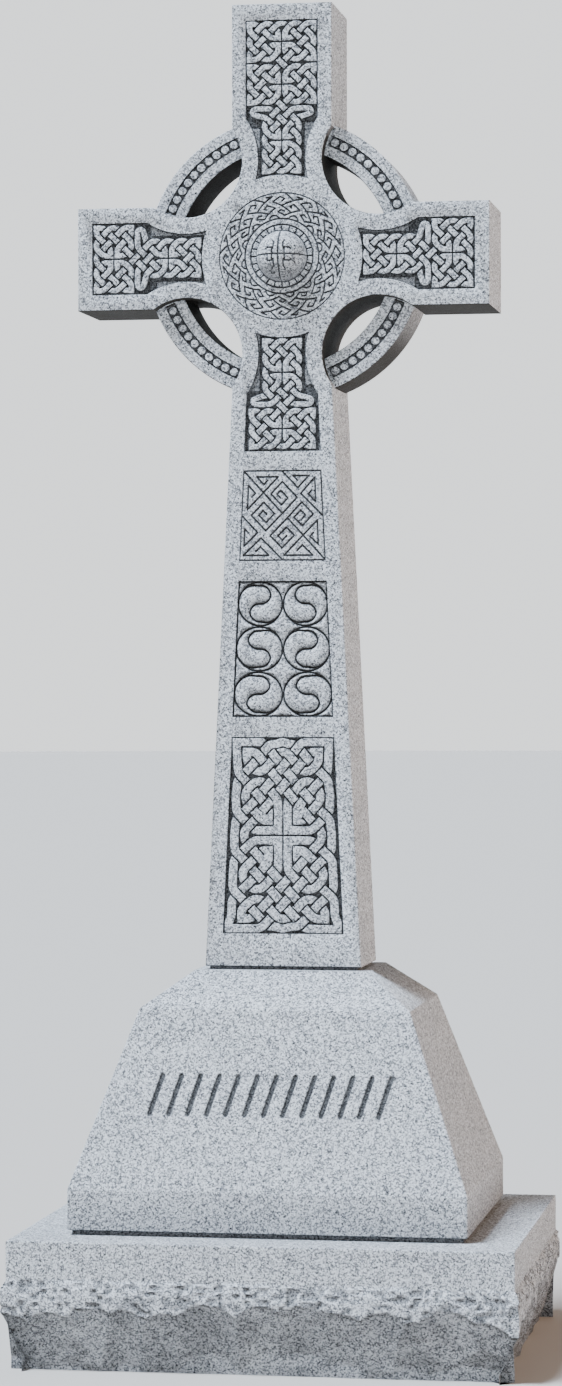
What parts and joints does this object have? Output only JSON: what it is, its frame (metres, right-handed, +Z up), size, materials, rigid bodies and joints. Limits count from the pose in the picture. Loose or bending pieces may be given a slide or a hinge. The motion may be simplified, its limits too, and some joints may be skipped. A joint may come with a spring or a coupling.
{
  "type": "celtic cross headstone",
  "caption": "Granite ring cross with carved interlace, key pattern and spirals, standing on a tapered pedestal and a rock-faced ground stone.",
  "frame": {"origin": "middle of the base's underside, on the ground", "axes": "+Z up; the carved face looks towards -Y; the arms lie along X"},
  "size_m": [0.985, 0.82, 2.6188],
  "materials": {
    "cross": "fine-dressed light grey granite, carved",
    "pedestal": "fine-dressed light grey granite",
    "base": "light grey granite, dressed margin over rock-pitched sides"
  },
  "bodies": {
    "root": {"cross": "cross", "pedestal": "pedestal", "base": "base"}
  },
  "joints": []
}
